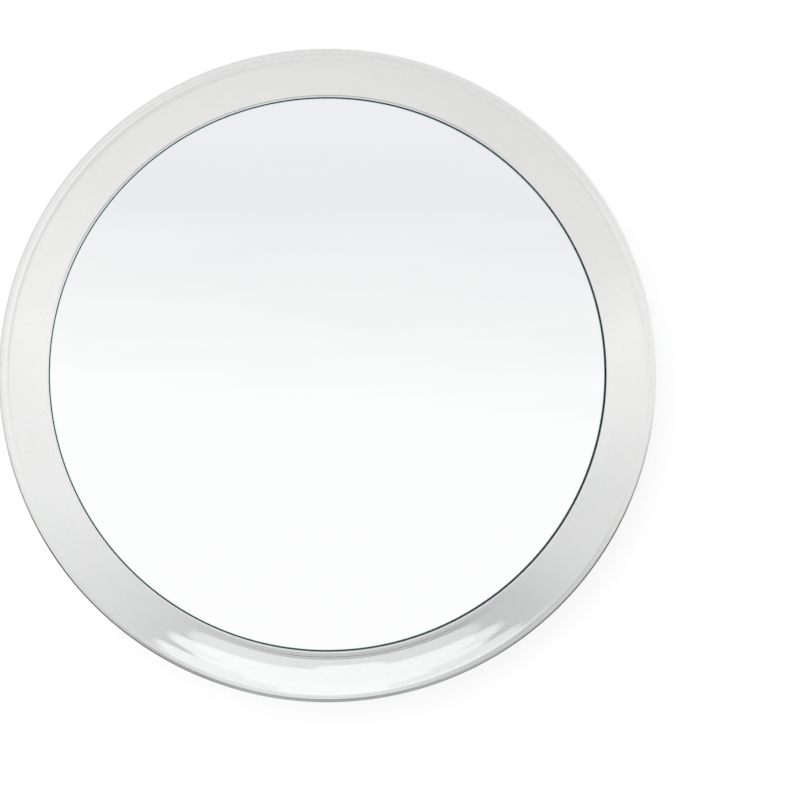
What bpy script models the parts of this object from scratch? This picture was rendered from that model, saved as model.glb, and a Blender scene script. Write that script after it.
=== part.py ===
"""Round concave magnifying mirror for a wall, held by three suction cups in keyholes.

The wall is the plane y = 0 and the mirror looks along -Y, with +Z up. Everything is modelled in a
working frame whose X is the part's X, whose Y is the part's Z and whose Z is the height off the wall,
and one empty turns that frame into place.
"""

import math

import bmesh
import bpy
from mathutils import Matrix

MM = 0.001

# Shared gaps.
CLEARANCE = 0.3 * MM
OVERRUN = 1.0 * MM
MERGE_DISTANCE = 0.01 * MM

# Mirror glass, a slice of a hollow sphere.
GLASS_RADIUS = 64.8 * MM
GLASS_THICKNESS = 2.0 * MM
GLASS_CURVE_RADIUS = 502.0 * MM
GLASS_CHAMFER = 0.4 * MM
FILM_THICKNESS = 0.3 * MM
FILM_INSET = 0.6 * MM
TAPE_THICKNESS = 1.0 * MM
TAPE_WIDTH = 5.0 * MM
TAPE_INSET = 0.8 * MM
PAD_MARGIN = 8.0 * MM

# Front bezel: a pocket for the glass, a slightly hollow slope, a rounded lip and a skirt.
GLASS_GAP = 0.3 * MM
BEZEL_WIDTH = 11.1 * MM
BEZEL_WALL = 2.2 * MM
RIM_WIDTH = 0.6 * MM
RIM_RISE = 0.9 * MM
RIM_CHAMFER = 0.25 * MM
COVE_START_SLOPE = math.radians(21.0)
DISH_DEPTH = 6.0 * MM
LIP_WIDTH = 1.5 * MM
LIP_DROP = 0.25 * MM
LIP_ROUND = 1.0 * MM
SKIRT_HEIGHT = 8.6 * MM
SKIRT_WALL = 1.4 * MM
POCKET_WALL = 1.8 * MM
SEAT_WIDTH = 8.1 * MM
SEAT_THICKNESS = 2.0 * MM
BOSS_RADIUS = 3.3 * MM
BOSS_BORE_RADIUS = 1.5 * MM
BOSS_SKIN = 0.8 * MM

# Rear shell: a flat floor, a round corner and a spigot inside the bezel's skirt.
FLOOR_THICKNESS = 2.0 * MM
FLOOR_MARGIN = 0.5 * MM
SHELL_INSET = 0.3 * MM
SHELL_WALL = 1.6 * MM
SHELL_BAND_HEIGHT = 1.3 * MM
SPIGOT_HEIGHT = 2.6 * MM
PILLAR_RADIUS = 3.5 * MM
PILLAR_HEIGHT = 0.9 * MM

# Cover screws.
SCREW_COUNT = 6
SCREW_HEAD_RADIUS = 2.2 * MM
SCREW_HEAD_HEIGHT = 1.1 * MM
SCREW_HEAD_EDGE = 0.4 * MM
SCREW_SINK = 0.2 * MM
SCREW_SHANK_RADIUS = 1.2 * MM
SCREW_TIP = 0.6 * MM
RECESS_LENGTH = 2.2 * MM
RECESS_WIDTH = 0.5 * MM
RECESS_DEPTH = 0.6 * MM

# Suction cups.
CUP_NAMES = ("top", "left", "right")
CUP_ANGLES = (math.radians(90.0), math.radians(210.0), math.radians(330.0))
CUP_MARGIN = 8.0 * MM
CUP_RADIUS = 20.0 * MM
CUP_HEIGHT = 11.0 * MM
CUP_SEAL_WIDTH = 1.8 * MM
CUP_EDGE = 0.8 * MM
CUP_HOLLOW = 3.0 * MM
CUP_SHOULDER_HEIGHT = 3.5 * MM
CUP_SHOULDER_RADIUS = 5.5 * MM
CUP_BELL_POWER = 1.3
NECK_RADIUS = 2.5 * MM
HEAD_RADIUS = 4.6 * MM
HEAD_THICKNESS = 1.8 * MM
HEAD_EDGE = 0.9 * MM
HEAD_ROOM = 0.5 * MM
TAB_RADIUS = 3.5 * MM
TAB_REACH = 1.5 * MM
TAB_THICKNESS = 1.0 * MM
TAB_LIFT = 0.3 * MM

# Keyholes.
KEYHOLE_TRAVEL = 9.0 * MM
KEYHOLE_ENTRY_GAP = 0.4 * MM

# How finely round shapes are cut.
RING_STEPS = 72
CUP_STEPS = 28
SCREW_STEPS = 14
HOLE_STEPS = 14
BOWL_STEPS = 4
COVE_STEPS = 6
COVE_BACK_STEPS = 4
CORNER_STEPS = 4
LIP_STEPS = 3

# Heights off the wall, and radii, that follow from the sizes above.
FLOOR_BACK = CUP_HEIGHT + CLEARANCE
FLOOR_FRONT = FLOOR_BACK + FLOOR_THICKNESS
HEAD_BACK = FLOOR_FRONT + CLEARANCE
FILM_BACK = HEAD_BACK + HEAD_THICKNESS + HEAD_ROOM
GLASS_BACK = FILM_BACK + FILM_THICKNESS + CLEARANCE
GLASS_FRONT = GLASS_BACK + GLASS_THICKNESS
TAPE_FRONT_DROP = GLASS_THICKNESS + FILM_THICKNESS + 2 * CLEARANCE
SEAT_DROP = TAPE_FRONT_DROP + TAPE_THICKNESS + CLEARANCE
POCKET_RADIUS = GLASS_RADIUS + GLASS_GAP
POCKET_OUTER = POCKET_RADIUS + POCKET_WALL
SEAT_INNER = POCKET_RADIUS - SEAT_WIDTH
OUTER_RADIUS = POCKET_RADIUS + BEZEL_WIDTH
SKIRT_INNER = OUTER_RADIUS - SKIRT_WALL
BOSS_CIRCLE = (SEAT_INNER + POCKET_OUTER) / 2
FLOOR_RADIUS = BOSS_CIRCLE + PILLAR_RADIUS + FLOOR_MARGIN
PILLAR_TOP = FLOOR_FRONT + PILLAR_HEIGHT
SCREW_HEAD_BACK = FLOOR_BACK + SCREW_SINK
SCREW_HEAD_FRONT = SCREW_HEAD_BACK + SCREW_HEAD_HEIGHT
COUNTERBORE_FRONT = SCREW_HEAD_FRONT + CLEARANCE
COUNTERBORE_RADIUS = SCREW_HEAD_RADIUS + CLEARANCE
SCREW_HOLE_RADIUS = SCREW_SHANK_RADIUS + CLEARANCE
SLOT_HALF_WIDTH = NECK_RADIUS + CLEARANCE
ENTRY_RADIUS = HEAD_RADIUS + KEYHOLE_ENTRY_GAP
CUP_CIRCLE = FLOOR_RADIUS - CUP_MARGIN - CUP_RADIUS
PAD_RADIUS = CUP_CIRCLE - KEYHOLE_TRAVEL - ENTRY_RADIUS - PAD_MARGIN


def glass_height(radius):
    """Height off the wall of the glass's front, at a radius from the axis."""
    flat = math.sqrt(GLASS_CURVE_RADIUS ** 2 - radius ** 2)
    return GLASS_FRONT + GLASS_CURVE_RADIUS - flat


RIM_TOP = glass_height(GLASS_RADIUS) + RIM_RISE
LIP_TOP = RIM_TOP + DISH_DEPTH
SKIRT_BACK = LIP_TOP - SKIRT_HEIGHT
SEAT_BACK = glass_height(SEAT_INNER) - SEAT_DROP - SEAT_THICKNESS
BOSS_BACK = PILLAR_TOP + CLEARANCE
BORE_FRONT = glass_height(BOSS_CIRCLE) - SEAT_DROP - BOSS_SKIN
SHOULDER_HEIGHT = SKIRT_BACK - CLEARANCE
SHELL_OUTER = OUTER_RADIUS - SHELL_INSET
SPIGOT_OUTER = SKIRT_INNER - CLEARANCE
SPIGOT_INNER = SPIGOT_OUTER - SHELL_WALL


def clear_scene():
    for old in list(bpy.data.objects):
        bpy.data.objects.remove(old)


def new_collection(name):
    collection = bpy.data.collections.new(name)
    bpy.context.scene.collection.children.link(collection)
    return collection


def plastic(name, colour, roughness, metallic=0.0):
    material = bpy.data.materials.new(name)
    material.use_nodes = True
    shader = material.node_tree.nodes["Principled BSDF"]
    shader.inputs["Base Color"].default_value = (*colour, 1.0)
    shader.inputs["Roughness"].default_value = roughness
    shader.inputs["Metallic"].default_value = metallic
    material.diffuse_color = (*colour, 1.0)
    return material


def arc(centre, radius, start, end, steps):
    """Points on a circle from one angle to another, both ends included."""
    points = []
    for step in range(steps + 1):
        angle = start + (end - start) * step / steps
        x = centre[0] + radius * math.cos(angle)
        y = centre[1] + radius * math.sin(angle)
        points.append((x, y))
    return points


def profile_object(name, points, closed, steps, collection):
    """A (radius, height) profile turned round the working frame's Z axis."""
    mesh = bpy.data.meshes.new(name)
    count = len(points)
    edges = [(index, index + 1) for index in range(count - 1)]
    if closed:
        edges.append((count - 1, 0))
    mesh.from_pydata([(radius, 0, height) for radius, height in points], edges, [])
    turned = bpy.data.objects.new(name, mesh)
    collection.objects.link(turned)
    screw = turned.modifiers.new("turn", "SCREW")
    screw.steps = steps
    screw.render_steps = steps
    screw.use_merge_vertices = True
    screw.merge_threshold = MERGE_DISTANCE
    screw.use_smooth_shade = True
    return turned


def cylinders(name, radius, low, high, places, steps, collection):
    """One mesh of upright cylinders, one at each (x, y) place."""
    shape = bmesh.new()
    for x, y in places:
        place = Matrix.Translation((x, y, (low + high) / 2))
        bmesh.ops.create_cone(
            shape,
            cap_ends=True,
            segments=steps,
            radius1=radius,
            radius2=radius,
            depth=high - low,
            matrix=place,
        )
    return mesh_object(name, shape, collection)


def mesh_object(name, shape, collection):
    mesh = bpy.data.meshes.new(name)
    shape.to_mesh(mesh)
    shape.free()
    made = bpy.data.objects.new(name, mesh)
    collection.objects.link(made)
    return made


def outline_plate(name, points, low, high, collection):
    """A flat outline filled and given thickness, as a closed mesh object."""
    curve = bpy.data.curves.new(name, "CURVE")
    curve.dimensions = "2D"
    curve.fill_mode = "BOTH"
    curve.extrude = (high - low) / 2
    spline = curve.splines.new("POLY")
    spline.points.add(len(points) - 1)
    for point, (x, y) in zip(spline.points, points):
        point.co = (x, y, 0, 1)
    spline.use_cyclic_u = True
    drawn = bpy.data.objects.new(name, curve)
    collection.objects.link(drawn)
    shape = bmesh.new()
    shape.from_mesh(evaluated_mesh(drawn))
    bmesh.ops.remove_doubles(shape, verts=shape.verts, dist=MERGE_DISTANCE)
    bmesh.ops.translate(shape, verts=shape.verts, vec=(0, 0, (low + high) / 2))
    bmesh.ops.recalc_face_normals(shape, faces=shape.faces)
    bpy.data.objects.remove(drawn)
    return mesh_object(name, shape, collection)


def evaluated_mesh(source):
    graph = bpy.context.evaluated_depsgraph_get()
    return bpy.data.meshes.new_from_object(source.evaluated_get(graph))


def combine(target, tool, operation):
    """Joins a tool to its target or cuts it out, and hides the tool."""
    modifier = target.modifiers.new(tool.name, "BOOLEAN")
    modifier.operation = operation
    modifier.object = tool
    modifier.solver = "EXACT"
    tool.hide_render = True
    tool.display_type = "WIRE"


def copies(name, source, turns, frame, collection):
    """Objects that share one finished mesh, each with its name, place and turn."""
    mesh = evaluated_mesh(source)
    mesh.name = name
    bpy.data.objects.remove(source)
    for label, (x, y), turn in turns:
        copy = bpy.data.objects.new(f"{name}_{label}", mesh)
        copy.location = (x, y, 0)
        copy.rotation_euler = (0, 0, turn)
        copy.parent = frame
        collection.objects.link(copy)


def dress(piece, material, frame):
    piece.data.materials.append(material)
    piece.parent = frame


def screw_places():
    turns = [math.tau * index / SCREW_COUNT for index in range(SCREW_COUNT)]
    return [(BOSS_CIRCLE * math.cos(turn), BOSS_CIRCLE * math.sin(turn)) for turn in turns]


def cup_places():
    return [(CUP_CIRCLE * math.cos(turn), CUP_CIRCLE * math.sin(turn)) for turn in CUP_ANGLES]


def bowl_points(outer, drop, inner=0.0):
    """Points at a depth below the glass's front, from an inner radius to an outer one."""
    points = []
    for step in range(BOWL_STEPS + 1):
        radius = inner + (outer - inner) * step / BOWL_STEPS
        points.append((radius, glass_height(radius) - drop))
    return points


def make_glass(collection, frame):
    front = bowl_points(GLASS_RADIUS - GLASS_CHAMFER, 0.0)
    edge_back = glass_height(GLASS_RADIUS) - GLASS_THICKNESS
    edge_front = front[-1][1] - GLASS_CHAMFER
    back = bowl_points(GLASS_RADIUS, GLASS_THICKNESS)
    back[-1] = (GLASS_RADIUS, edge_back)
    points = front + [(GLASS_RADIUS, edge_front)] + back[::-1]
    glass = profile_object("mirror_glass", points, False, RING_STEPS, collection)
    dress(glass, plastic("mirror_silver", (0.86, 0.88, 0.89), 0.03, 1.0), frame)


def make_film(collection, frame):
    outer = GLASS_RADIUS - FILM_INSET
    front_drop = GLASS_THICKNESS + CLEARANCE
    front = bowl_points(outer, front_drop)
    back = bowl_points(outer, front_drop + FILM_THICKNESS)
    film = profile_object("backing_film", front + back[::-1], False, RING_STEPS, collection)
    dress(film, plastic("film_grey", (0.35, 0.37, 0.40), 0.5), frame)


def make_tape(collection, frame):
    outer = GLASS_RADIUS - TAPE_INSET
    inner = outer - TAPE_WIDTH
    back_drop = TAPE_FRONT_DROP + TAPE_THICKNESS
    points = [
        (inner, glass_height(inner) - TAPE_FRONT_DROP),
        (outer, glass_height(outer) - TAPE_FRONT_DROP),
        (outer, glass_height(outer) - back_drop),
        (inner, glass_height(inner) - back_drop),
    ]
    tape = profile_object("glass_tape", points, True, RING_STEPS, collection)
    dress(tape, plastic("foam_white", (0.82, 0.82, 0.80), 0.9), frame)


def make_pad(collection, frame):
    low = FLOOR_FRONT + CLEARANCE
    high = FILM_BACK - CLEARANCE
    pad = cylinders("centre_pad", PAD_RADIUS, low, high, [(0, 0)], CUP_STEPS, collection)
    dress(pad, plastic("foam_grey", (0.20, 0.20, 0.21), 0.95), frame)


def cove_circle():
    """Centre and radius of the cove's arc, from its two ends and its slope at the rim."""
    start = (POCKET_RADIUS + RIM_WIDTH, RIM_TOP)
    end = (OUTER_RADIUS - LIP_WIDTH, LIP_TOP - LIP_DROP)
    chord = math.dist(start, end)
    chord_slope = math.atan2(end[1] - start[1], end[0] - start[0])
    radius = chord / (2 * math.sin(chord_slope - COVE_START_SLOPE))
    centre_x = start[0] - radius * math.sin(COVE_START_SLOPE)
    centre_y = start[1] + radius * math.cos(COVE_START_SLOPE)
    end_slope = 2 * chord_slope - COVE_START_SLOPE
    return (centre_x, centre_y), radius, end_slope


def bezel_profile():
    centre, radius, end_slope = cove_circle()
    down = -math.pi / 2
    front = arc(centre, radius, down + COVE_START_SLOPE, down + end_slope, COVE_STEPS)
    back_radius = radius + BEZEL_WALL
    back_start = down + math.asin((POCKET_OUTER - centre[0]) / back_radius)
    back_end = down + math.asin((SKIRT_INNER - centre[0]) / back_radius)
    back = arc(centre, back_radius, back_end, back_start, COVE_BACK_STEPS)
    lip_centre = (OUTER_RADIUS - LIP_ROUND, LIP_TOP - LIP_ROUND)
    lip = [(OUTER_RADIUS - LIP_WIDTH + LIP_DROP, LIP_TOP)]
    lip += arc(lip_centre, LIP_ROUND, math.pi / 2, 0.0, LIP_STEPS)
    points = [(POCKET_RADIUS, RIM_TOP - RIM_CHAMFER), (POCKET_RADIUS + RIM_CHAMFER, RIM_TOP)]
    points += front + lip
    points += [(OUTER_RADIUS, SKIRT_BACK), (SKIRT_INNER, SKIRT_BACK)]
    points += back
    points += [(POCKET_OUTER, SEAT_BACK), (SEAT_INNER, SEAT_BACK)]
    points += [(SEAT_INNER, glass_height(SEAT_INNER) - SEAT_DROP)]
    points += [(POCKET_RADIUS, glass_height(POCKET_RADIUS) - SEAT_DROP)]
    return points


def make_bezel(collection, tools, frame):
    bezel = profile_object("front_bezel", bezel_profile(), True, RING_STEPS, collection)
    places = screw_places()
    boss_front = SEAT_BACK + SEAT_THICKNESS / 2
    bosses = cylinders("bosses", BOSS_RADIUS, BOSS_BACK, boss_front, places, HOLE_STEPS, tools)
    bore_back = BOSS_BACK - OVERRUN
    bores = cylinders("boss_bores", BOSS_BORE_RADIUS, bore_back, BORE_FRONT, places, HOLE_STEPS, tools)
    combine(bezel, bosses, "UNION")
    combine(bezel, bores, "DIFFERENCE")
    bosses.parent = frame
    bores.parent = frame
    dress(bezel, plastic("silver_acrylic", (0.76, 0.77, 0.76), 0.08), frame)


def corner(radius_x, radius_y, height):
    """A quarter ellipse from the shell's side wall down to its floor."""
    points = []
    for step in range(CORNER_STEPS + 1):
        angle = math.pi / 2 * step / CORNER_STEPS
        x = FLOOR_RADIUS + radius_x * math.cos(angle)
        points.append((x, height - radius_y * math.sin(angle)))
    return points


def shell_profile():
    band_back = SHOULDER_HEIGHT - SHELL_BAND_HEIGHT
    spigot_top = SHOULDER_HEIGHT + SPIGOT_HEIGHT
    outside = corner(SHELL_OUTER - FLOOR_RADIUS, band_back - FLOOR_BACK, band_back)
    inside = corner(SPIGOT_INNER - FLOOR_RADIUS, band_back - FLOOR_FRONT, band_back)
    points = [(0, FLOOR_FRONT)] + inside[::-1]
    points += [(SPIGOT_INNER, spigot_top), (SPIGOT_OUTER, spigot_top)]
    points += [(SPIGOT_OUTER, SHOULDER_HEIGHT), (SHELL_OUTER, SHOULDER_HEIGHT)]
    points += outside + [(0, FLOOR_BACK)]
    return points


def keyhole_outline():
    """A slot that opens downwards into a round entry, with its top end at the origin."""
    entry = (0, -KEYHOLE_TRAVEL)
    mouth = math.asin(SLOT_HALF_WIDTH / ENTRY_RADIUS)
    top = arc((0, 0), SLOT_HALF_WIDTH, 0.0, math.pi, HOLE_STEPS // 2)
    start = math.pi / 2 + mouth
    end = math.tau + math.pi / 2 - mouth
    return top + arc(entry, ENTRY_RADIUS, start, end, HOLE_STEPS)


def make_keyhole_tool(tools):
    low = FLOOR_BACK - OVERRUN
    high = FLOOR_FRONT + OVERRUN
    single = outline_plate("keyhole", keyhole_outline(), low, high, tools)
    shape = bmesh.new()
    for x, y in cup_places():
        before = set(shape.verts)
        shape.from_mesh(single.data)
        added = [vertex for vertex in shape.verts if vertex not in before]
        bmesh.ops.translate(shape, verts=added, vec=(x, y, 0))
    bpy.data.objects.remove(single)
    return mesh_object("keyholes", shape, tools)


def make_shell(collection, tools, frame):
    shell = profile_object("rear_shell", shell_profile(), False, RING_STEPS, collection)
    places = screw_places()
    below = FLOOR_BACK - OVERRUN
    middle = FLOOR_BACK + FLOOR_THICKNESS / 2
    pillars = cylinders("pillars", PILLAR_RADIUS, middle, PILLAR_TOP, places, HOLE_STEPS, tools)
    counterbores = cylinders(
        "counterbores", COUNTERBORE_RADIUS, below, COUNTERBORE_FRONT, places, HOLE_STEPS, tools
    )
    holes = cylinders(
        "screw_holes", SCREW_HOLE_RADIUS, below, PILLAR_TOP + OVERRUN, places, HOLE_STEPS, tools
    )
    keyholes = make_keyhole_tool(tools)
    combine(shell, pillars, "UNION")
    for tool in (counterbores, holes, keyholes):
        combine(shell, tool, "DIFFERENCE")
    for tool in (pillars, counterbores, holes, keyholes):
        tool.parent = frame
    dress(shell, plastic("shell_grey", (0.70, 0.71, 0.71), 0.35), frame)


def make_screws(collection, tools, frame):
    tip = BORE_FRONT - CLEARANCE
    points = [
        (0, tip),
        (SCREW_SHANK_RADIUS - SCREW_TIP / 2, tip),
        (SCREW_SHANK_RADIUS, tip - SCREW_TIP),
        (SCREW_SHANK_RADIUS, SCREW_HEAD_FRONT),
        (SCREW_HEAD_RADIUS, SCREW_HEAD_FRONT),
        (SCREW_HEAD_RADIUS, SCREW_HEAD_BACK + SCREW_HEAD_EDGE),
        (SCREW_HEAD_RADIUS - SCREW_HEAD_EDGE, SCREW_HEAD_BACK),
        (0, SCREW_HEAD_BACK),
    ]
    screw = profile_object("cover_screw", points, False, SCREW_STEPS, collection)
    shape = bmesh.new()
    recess_back = SCREW_HEAD_BACK - OVERRUN
    recess_front = SCREW_HEAD_BACK + RECESS_DEPTH
    middle = Matrix.Translation((0, 0, (recess_back + recess_front) / 2))
    size = Matrix.Diagonal((RECESS_LENGTH, RECESS_WIDTH, recess_front - recess_back, 1))
    bmesh.ops.create_cube(shape, size=1.0, matrix=middle @ size)
    slot = mesh_object("recess_slot", shape, tools)
    crossing = slot.copy()
    crossing.name = "recess_crossing"
    crossing.rotation_euler = (0, 0, math.pi / 2)
    tools.objects.link(crossing)
    combine(screw, slot, "DIFFERENCE")
    combine(screw, crossing, "DIFFERENCE")
    screw.data.materials.append(plastic("screw_steel", (0.62, 0.62, 0.63), 0.3, 1.0))
    turns = []
    for index, place in enumerate(screw_places()):
        turns.append((str(index + 1), place, math.tau * index / SCREW_COUNT))
    copies("cover_screw", screw, turns, frame, collection)
    bpy.data.objects.remove(slot)
    bpy.data.objects.remove(crossing)


def cup_profile():
    shoulder_back = CUP_HEIGHT - CUP_SHOULDER_HEIGHT
    bell = []
    for step in range(CORNER_STEPS + 1):
        share = step / CORNER_STEPS
        radius = CUP_SHOULDER_RADIUS + (CUP_RADIUS - CUP_SHOULDER_RADIUS) * share
        rise = (shoulder_back - CUP_EDGE) * (1 - share) ** CUP_BELL_POWER
        bell.append((radius, CUP_EDGE + rise))
    hollow_radius = CUP_RADIUS - CUP_SEAL_WIDTH
    hollow = []
    for step in range(CORNER_STEPS + 1):
        angle = math.pi / 2 * step / CORNER_STEPS
        hollow.append((hollow_radius * math.cos(angle), CUP_HOLLOW * math.sin(angle) ** 2))
    hollow[-1] = (0, CUP_HOLLOW)
    head_front = HEAD_BACK + HEAD_THICKNESS
    points = [
        (0, head_front),
        (HEAD_RADIUS - HEAD_EDGE, head_front),
        (HEAD_RADIUS, head_front - HEAD_EDGE),
        (HEAD_RADIUS, HEAD_BACK),
        (NECK_RADIUS, HEAD_BACK),
        (NECK_RADIUS, CUP_HEIGHT),
        (CUP_SHOULDER_RADIUS, CUP_HEIGHT),
    ]
    return points + bell + [(CUP_RADIUS, 0)] + hollow


def make_cups(collection, tools, frame):
    cup = profile_object("suction_cup", cup_profile(), False, CUP_STEPS, collection)
    place = [(CUP_RADIUS + TAB_REACH, 0)]
    tab = cylinders("pull_tab", TAB_RADIUS, TAB_LIFT, TAB_LIFT + TAB_THICKNESS, place, HOLE_STEPS, tools)
    combine(cup, tab, "UNION")
    cup.data.materials.append(plastic("soft_clear_vinyl", (0.80, 0.84, 0.85), 0.15))
    turns = list(zip(CUP_NAMES, cup_places(), CUP_ANGLES))
    copies("suction_cup", cup, turns, frame, collection)
    bpy.data.objects.remove(tab)


def main():
    clear_scene()
    pieces = new_collection("magnifying_mirror")
    tools = new_collection("cutters")
    frame = bpy.data.objects.new("wall_frame", None)
    frame.rotation_euler = (math.pi / 2, 0, 0)
    pieces.objects.link(frame)
    make_glass(pieces, frame)
    make_film(pieces, frame)
    make_tape(pieces, frame)
    make_pad(pieces, frame)
    make_bezel(pieces, tools, frame)
    make_shell(pieces, tools, frame)
    make_screws(pieces, tools, frame)
    make_cups(pieces, tools, frame)


main()
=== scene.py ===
"""Round wall magnifying mirror: a concave glass in a dished silver-grey bezel on three suction cups.

The wall is the plane y = 0, the mirror looks along -Y and +Z is up. A profile is a list of (radius,
height) points in metres, with the height measured off the wall, and it is turned round an axis that
runs along -Y. A point may carry a third value, the reach of the round on its corner.
"""

import math

import bmesh
import bpy
from mathutils import Matrix, Vector


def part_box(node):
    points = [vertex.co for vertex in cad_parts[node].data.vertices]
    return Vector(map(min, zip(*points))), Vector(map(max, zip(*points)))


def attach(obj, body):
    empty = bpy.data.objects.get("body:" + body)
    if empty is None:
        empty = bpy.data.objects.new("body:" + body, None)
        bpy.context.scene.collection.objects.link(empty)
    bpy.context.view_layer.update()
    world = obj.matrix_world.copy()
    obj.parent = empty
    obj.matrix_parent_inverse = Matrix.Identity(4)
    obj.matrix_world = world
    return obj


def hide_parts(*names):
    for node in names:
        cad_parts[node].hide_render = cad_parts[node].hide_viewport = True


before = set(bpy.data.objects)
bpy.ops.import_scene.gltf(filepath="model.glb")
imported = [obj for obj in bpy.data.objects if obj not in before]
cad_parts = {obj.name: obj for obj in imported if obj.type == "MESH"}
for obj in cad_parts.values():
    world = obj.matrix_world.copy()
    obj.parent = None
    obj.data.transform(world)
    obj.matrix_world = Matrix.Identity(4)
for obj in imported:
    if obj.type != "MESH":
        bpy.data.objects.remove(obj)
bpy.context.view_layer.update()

MM = 0.001
ROOT = "mirror"

# Corners read from the frame, and the sizes that they give.
BEZEL_LOW, BEZEL_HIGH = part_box("front_bezel")
SHELL_LOW, SHELL_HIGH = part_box("rear_shell")
PAD_LOW, PAD_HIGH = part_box("centre_pad")
_, GLASS_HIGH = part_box("mirror_glass")
_, FILM_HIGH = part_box("backing_film")
_, TAPE_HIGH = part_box("glass_tape")
SCREW_LOW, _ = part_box("cover_screw_1")
OUTER_RADIUS = BEZEL_HIGH.x
LIP_TOP = -BEZEL_LOW.y
GLASS_RADIUS = GLASS_HIGH.x
GLASS_BACK = -GLASS_HIGH.y
FILM_RADIUS = FILM_HIGH.x
TAPE_RADIUS = TAPE_HIGH.x
PAD_RADIUS = PAD_HIGH.x
PAD_BACK = -PAD_HIGH.y
PAD_FRONT = -PAD_LOW.y
SHELL_OUTER = SHELL_HIGH.x
FLOOR_BACK = -SHELL_HIGH.y
SPIGOT_TOP = -SHELL_LOW.y
SCREW_TIP = -SCREW_LOW.y

# The gap between pieces, how far a cut runs past its solid, and how close points are welded.
CLEARANCE = 0.3 * MM
OVERRUN = 1.0 * MM
WELD = 0.002 * MM

# The glass, and the film and foam behind it. The glass lies a little to the left in its pocket.
GLASS_THICKNESS = 2.0 * MM
GLASS_CURVE_RADIUS = 502.0 * MM
GLASS_CHAMFER = 0.15 * MM
GLASS_GAP = 0.3 * MM
GLASS_SHIFT = -0.12 * MM
FILM_THICKNESS = 0.3 * MM
TAPE_WIDTH = 5.0 * MM
TAPE_THICKNESS = 1.0 * MM
TAPE_BULGE = 0.25 * MM
PAD_BULGE = 0.4 * MM

# The bezel: its rim round the glass, its cove, its lip and its skirt, the seat and the screw bosses.
BEZEL_WALL = 2.2 * MM
BEZEL_ROUND = 0.12 * MM
DISH_DEPTH = 6.0 * MM
RIM_WIDTH = 0.6 * MM
RIM_LAND = 0.08 * MM
RIM_CHAMFER_WIDTH = 0.2 * MM
RIM_CHAMFER_HEIGHT = 0.31 * MM
COVE_START_SLOPE = math.radians(21.0)
LIP_WIDTH = 2.35 * MM
LIP_STEP_WIDTH = 0.38 * MM
LIP_DROP = 0.45 * MM
LIP_LAND_FALL = 0.12 * MM
LIP_BEVEL_WIDTH = 1.15 * MM
LIP_BEVEL_HEIGHT = 1.82 * MM
BEVEL_BREAK_WIDTH = 0.72 * MM
BEVEL_BREAK_HEIGHT = 0.9 * MM
SKIRT_HEIGHT = 8.6 * MM
SKIRT_WALL = 1.4 * MM
POCKET_WALL = 1.8 * MM
SEAT_WIDTH = 8.1 * MM
SEAT_THICKNESS = 2.0 * MM
BOSS_RADIUS = 3.3 * MM
BOSS_BORE_RADIUS = 1.5 * MM
BOSS_SKIN = 0.8 * MM

# The rear shell, with its screw pillars and keyholes.
SHELL_WALL = 1.6 * MM
SHELL_ROUND = 0.15 * MM
SHELL_BAND_HEIGHT = 1.3 * MM
FLOOR_THICKNESS = 2.0 * MM
FLOOR_MARGIN = 0.5 * MM
PILLAR_RADIUS = 3.5 * MM
PILLAR_HEIGHT = 0.9 * MM
KEYHOLE_TRAVEL = 9.0 * MM
KEYHOLE_ENTRY_GAP = 0.4 * MM

# The screws.
SCREW_COUNT = 6
SCREW_HEAD_RADIUS = 2.2 * MM
SCREW_HEAD_HEIGHT = 1.1 * MM
SCREW_HEAD_ROUND = 0.35 * MM
SCREW_SINK = 0.2 * MM
SCREW_SHANK_RADIUS = 1.2 * MM
THREAD_DEPTH = 0.25 * MM
THREAD_PITCH = 0.8 * MM
RECESS_LENGTH = 2.2 * MM
RECESS_WIDTH = 0.5 * MM
RECESS_DEPTH = 0.6 * MM

# The suction cups, by name, each with its angle in degrees round the mirror's axis.
CUPS = {"top": 90.0, "left": 210.0, "right": 330.0}
CUP_RADIUS = 20.0 * MM
CUP_MARGIN = 8.0 * MM
CUP_HEIGHT = 11.0 * MM
CUP_SEAL_WIDTH = 1.8 * MM
CUP_EDGE = 0.8 * MM
CUP_HOLLOW = 3.0 * MM
CUP_SHOULDER_HEIGHT = 3.5 * MM
CUP_SHOULDER_RADIUS = 5.5 * MM
CUP_BELL_POWER = 1.3
CUP_ROUND = 0.4 * MM
CUP_FINE_ROUND = 0.25 * MM
NECK_RADIUS = 2.5 * MM
HEAD_RADIUS = 4.6 * MM
HEAD_THICKNESS = 1.8 * MM
HEAD_EDGE = 0.9 * MM
TAB_RADIUS = 3.5 * MM
TAB_REACH = 1.5 * MM
TAB_THICKNESS = 1.0 * MM
TAB_LIFT = 0.3 * MM

# Heights off the wall, and radii, that follow.
GLASS_FRONT = GLASS_BACK + GLASS_THICKNESS
POCKET_RADIUS = GLASS_RADIUS + GLASS_GAP
POCKET_OUTER = POCKET_RADIUS + POCKET_WALL
SEAT_INNER = POCKET_RADIUS - SEAT_WIDTH
SKIRT_INNER = OUTER_RADIUS - SKIRT_WALL
RIM_TOP = LIP_TOP - DISH_DEPTH
SKIRT_BACK = LIP_TOP - SKIRT_HEIGHT
FLOOR_FRONT = FLOOR_BACK + FLOOR_THICKNESS
HEAD_BACK = FLOOR_FRONT + CLEARANCE
PILLAR_TOP = FLOOR_FRONT + PILLAR_HEIGHT
BOSS_CIRCLE = (SEAT_INNER + POCKET_OUTER) / 2
FLOOR_RADIUS = BOSS_CIRCLE + PILLAR_RADIUS + FLOOR_MARGIN
CUP_CIRCLE = FLOOR_RADIUS - CUP_MARGIN - CUP_RADIUS
CUP_SHOULDER_BACK = CUP_HEIGHT - CUP_SHOULDER_HEIGHT
SHOULDER_HEIGHT = SKIRT_BACK - CLEARANCE
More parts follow.
